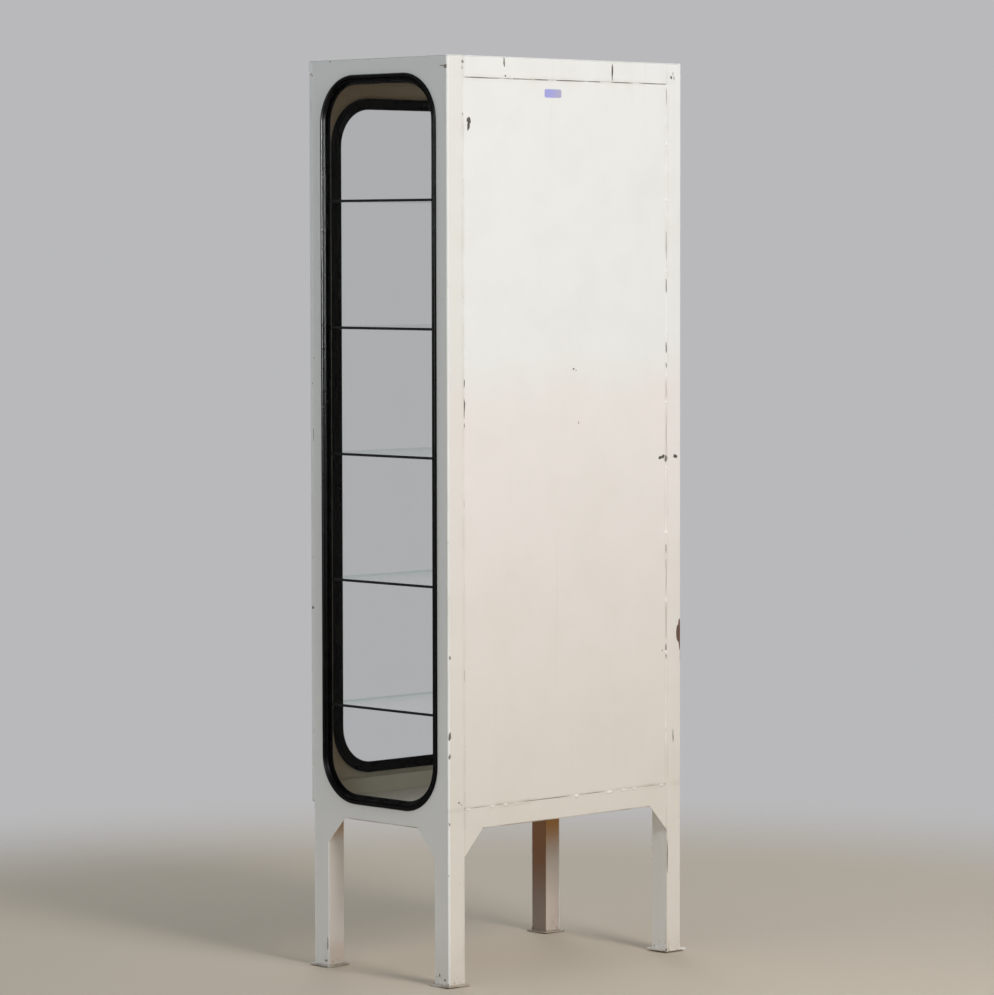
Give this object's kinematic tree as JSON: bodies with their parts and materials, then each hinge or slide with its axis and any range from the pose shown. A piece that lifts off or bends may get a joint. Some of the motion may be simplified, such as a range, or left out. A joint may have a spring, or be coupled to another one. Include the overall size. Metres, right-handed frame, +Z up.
{
  "type": "glass door medical cabinet",
  "caption": "Tall narrow steel medical cabinet on box legs, with rubber framed glass in its door and sides, glass shelves, a plain back, barrel hinges and a locking lever handle.",
  "frame": {"origin": "on the floor under the middle of the case's width and depth", "axes": "+Z up; -Y out of the door (front), +Y out of the plain back; +X to the right of someone facing the door"},
  "size_m": [0.6478, 0.4124, 1.75],
  "materials": {
    "case_paint": "aged satin enamel",
    "inside_paint": "aged satin enamel",
    "window_rubber": "satin extruded rubber",
    "window_glass": "clear float glass",
    "shelf_glass": "clear float glass with ground edges",
    "handle_chrome": "bright plated",
    "bare_steel": "plain steel"
  },
  "bodies": {
    "cabinet": {"right_side_shell": "case_paint", "left_side_shell": "case_paint", "right_doorway_stile": "case_paint", "left_doorway_stile": "case_paint", "front_right_leg_channel": "case_paint", "rear_right_leg_angle": "case_paint", "front_left_leg_channel": "case_paint", "rear_left_leg_angle": "case_paint", "front_right_foot_plate": "case_paint", "rear_right_foot_plate": "case_paint", "front_left_foot_plate": "case_paint", "rear_left_foot_plate": "case_paint", "front_right_shelf_standard": "inside_paint", "rear_right_shelf_standard": "inside_paint", "front_left_shelf_standard": "inside_paint", "rear_left_shelf_standard": "inside_paint", "right_side_rubber_frame": "window_rubber", "left_side_rubber_frame": "window_rubber", "right_side_filler_strip": "window_rubber", "left_side_filler_strip": "window_rubber", "right_side_glass": "window_glass", "left_side_glass": "window_glass", "lid": "case_paint", "case_floor": "inside_paint", "back_panel": "case_paint", "back_top_rail": "case_paint", "back_bottom_rail": "case_paint", "front_top_rail": "case_paint", "front_bottom_rail": "case_paint", "strike_plate": "bare_steel", "shelf_1": "shelf_glass", "shelf_2": "shelf_glass", "shelf_3": "shelf_glass", "shelf_4": "shelf_glass", "shelf_5": "shelf_glass", "hinge_1_frame_leaf": "case_paint", "hinge_1_pin": "bare_steel", "hinge_2_frame_leaf": "case_paint", "hinge_2_pin": "bare_steel", "hinge_3_frame_leaf": "case_paint", "hinge_3_pin": "bare_steel"},
    "door": {"door_shell": "case_paint", "door_rubber_frame": "window_rubber", "door_filler_strip": "window_rubber", "door_glass": "window_glass", "hinge_1_door_tab": "case_paint", "hinge_2_door_tab": "case_paint", "hinge_3_door_tab": "case_paint", "handle_rose": "handle_chrome", "rose_screw_upper": "bare_steel", "rose_screw_lower": "bare_steel"},
    "handle": {"handle_lever": "handle_chrome", "handle_spindle": "bare_steel", "latch_cam": "bare_steel", "cam_nut": "bare_steel"},
    "lock": {"lock_plug": "handle_chrome"}
  },
  "joints": [
    {"name": "door_hinge", "type": "hinge", "parent": "cabinet", "child": "door", "pos_m": [-0.3203, -0.1905, 1.0225], "axis": [0, 0, -1], "range_deg": [0, 170]},
    {"name": "handle_turn", "type": "hinge", "parent": "door", "child": "handle", "pos_m": [0.285, -0.198, 1.04], "axis": [0, 1, 0], "range_deg": [0, 90]},
    {"name": "lock_turn", "type": "hinge", "parent": "handle", "child": "lock", "pos_m": [0.285, -0.2121, 1.04], "axis": [0, 1, 0], "range_deg": [0, 90]}
  ]
}
